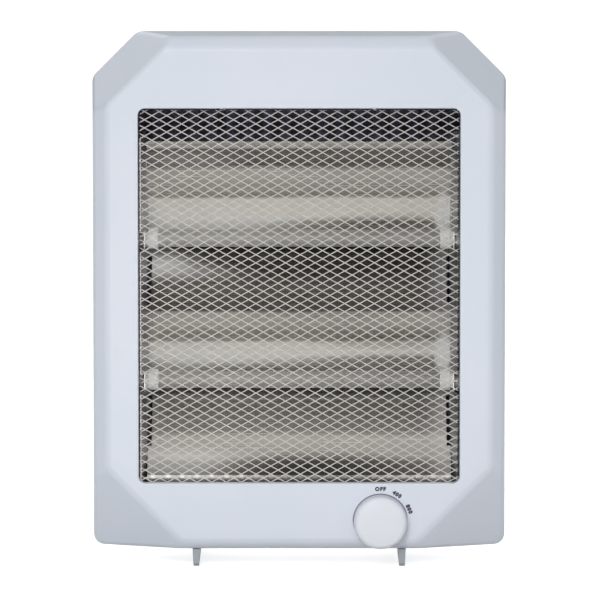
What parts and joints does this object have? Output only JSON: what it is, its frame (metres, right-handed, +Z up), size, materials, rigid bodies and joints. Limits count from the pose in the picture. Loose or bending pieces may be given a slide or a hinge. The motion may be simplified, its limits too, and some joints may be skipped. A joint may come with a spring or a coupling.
{
  "type": "quartz heater",
  "caption": "Free-standing quartz room heater: faceted moulded front, expanded-metal guard, frosted tubes in a polished reflector, turning selector knob, vented rear case, handle and feet.",
  "frame": {"origin": "middle of the bounding box's bottom, on the floor under the feet", "axes": "+Z up; the front with the guard and the knob faces -Y; +X to the right seen from the front"},
  "size_m": [0.291, 0.13, 0.374],
  "materials": {
    "bezel_plastic": "satin moulded",
    "knob_plastic": "satin moulded",
    "guard_paint": "cream paint",
    "polished_reflector": "polished",
    "case_paint": "powder coat",
    "zinc_steel": "zinc plated",
    "frosted_quartz": "frosted, milky",
    "resistance_wire": "oxidised",
    "white_ceramic": "unglazed",
    "foot_plastic": "moulded",
    "handle_plastic": "moulded",
    "dark_plastic": "moulded",
    "gland_rubber": "matt",
    "screw_steel": "zinc plated"
  },
  "bodies": {
    "heater": {"front_bezel": "bezel_plastic", "guard_mesh": "guard_paint", "reflector": "polished_reflector", "end_plate_left": "zinc_steel", "end_plate_right": "zinc_steel", "quartz_tube_upper": "frosted_quartz", "quartz_tube_lower": "frosted_quartz", "heating_coil_upper": "resistance_wire", "heating_coil_lower": "resistance_wire", "ceramic_cap_upper_left": "white_ceramic", "ceramic_cap_upper_right": "white_ceramic", "ceramic_cap_lower_left": "white_ceramic", "ceramic_cap_lower_right": "white_ceramic", "cap_keeper_upper_left": "zinc_steel", "cap_keeper_upper_right": "zinc_steel", "cap_keeper_lower_left": "zinc_steel", "cap_keeper_lower_right": "zinc_steel", "rear_case": "case_paint", "carry_handle": "handle_plastic", "foot_left": "foot_plastic", "foot_right": "foot_plastic", "selector_switch": "dark_plastic", "terminal_block": "white_ceramic", "cord_gland": "gland_rubber", "thermal_cutout": "dark_plastic", "tilt_switch_bracket": "dark_plastic", "tilt_pivot_pin": "zinc_steel", "case_screw_1": "screw_steel", "case_screw_2": "screw_steel", "case_screw_3": "screw_steel", "case_screw_4": "screw_steel", "case_screw_5": "screw_steel", "case_screw_6": "screw_steel", "case_screw_7": "screw_steel", "case_screw_8": "screw_steel", "end_plate_screw_1": "screw_steel", "end_plate_screw_2": "screw_steel", "end_plate_screw_3": "screw_steel", "end_plate_screw_4": "screw_steel", "handle_screw_1": "screw_steel", "handle_screw_2": "screw_steel", "foot_screw_1": "screw_steel", "foot_screw_2": "screw_steel", "foot_screw_3": "screw_steel", "foot_screw_4": "screw_steel"},
    "knob": {"selector_knob": "knob_plastic", "selector_shaft": "zinc_steel"},
    "pendulum": {"tilt_pendulum": "zinc_steel"}
  },
  "joints": [
    {"name": "knob_turn", "type": "hinge", "parent": "heater", "child": "knob", "pos_m": [0.0569, -0.052, 0.0329], "axis": [0, 1, 0], "range_deg": [0, 72]},
    {"name": "tilt_swing", "type": "hinge", "parent": "heater", "child": "pendulum", "pos_m": [-0.018, 0.014, 0.05106], "axis": [1, 0, 0], "range_deg": [-35, 35]}
  ]
}
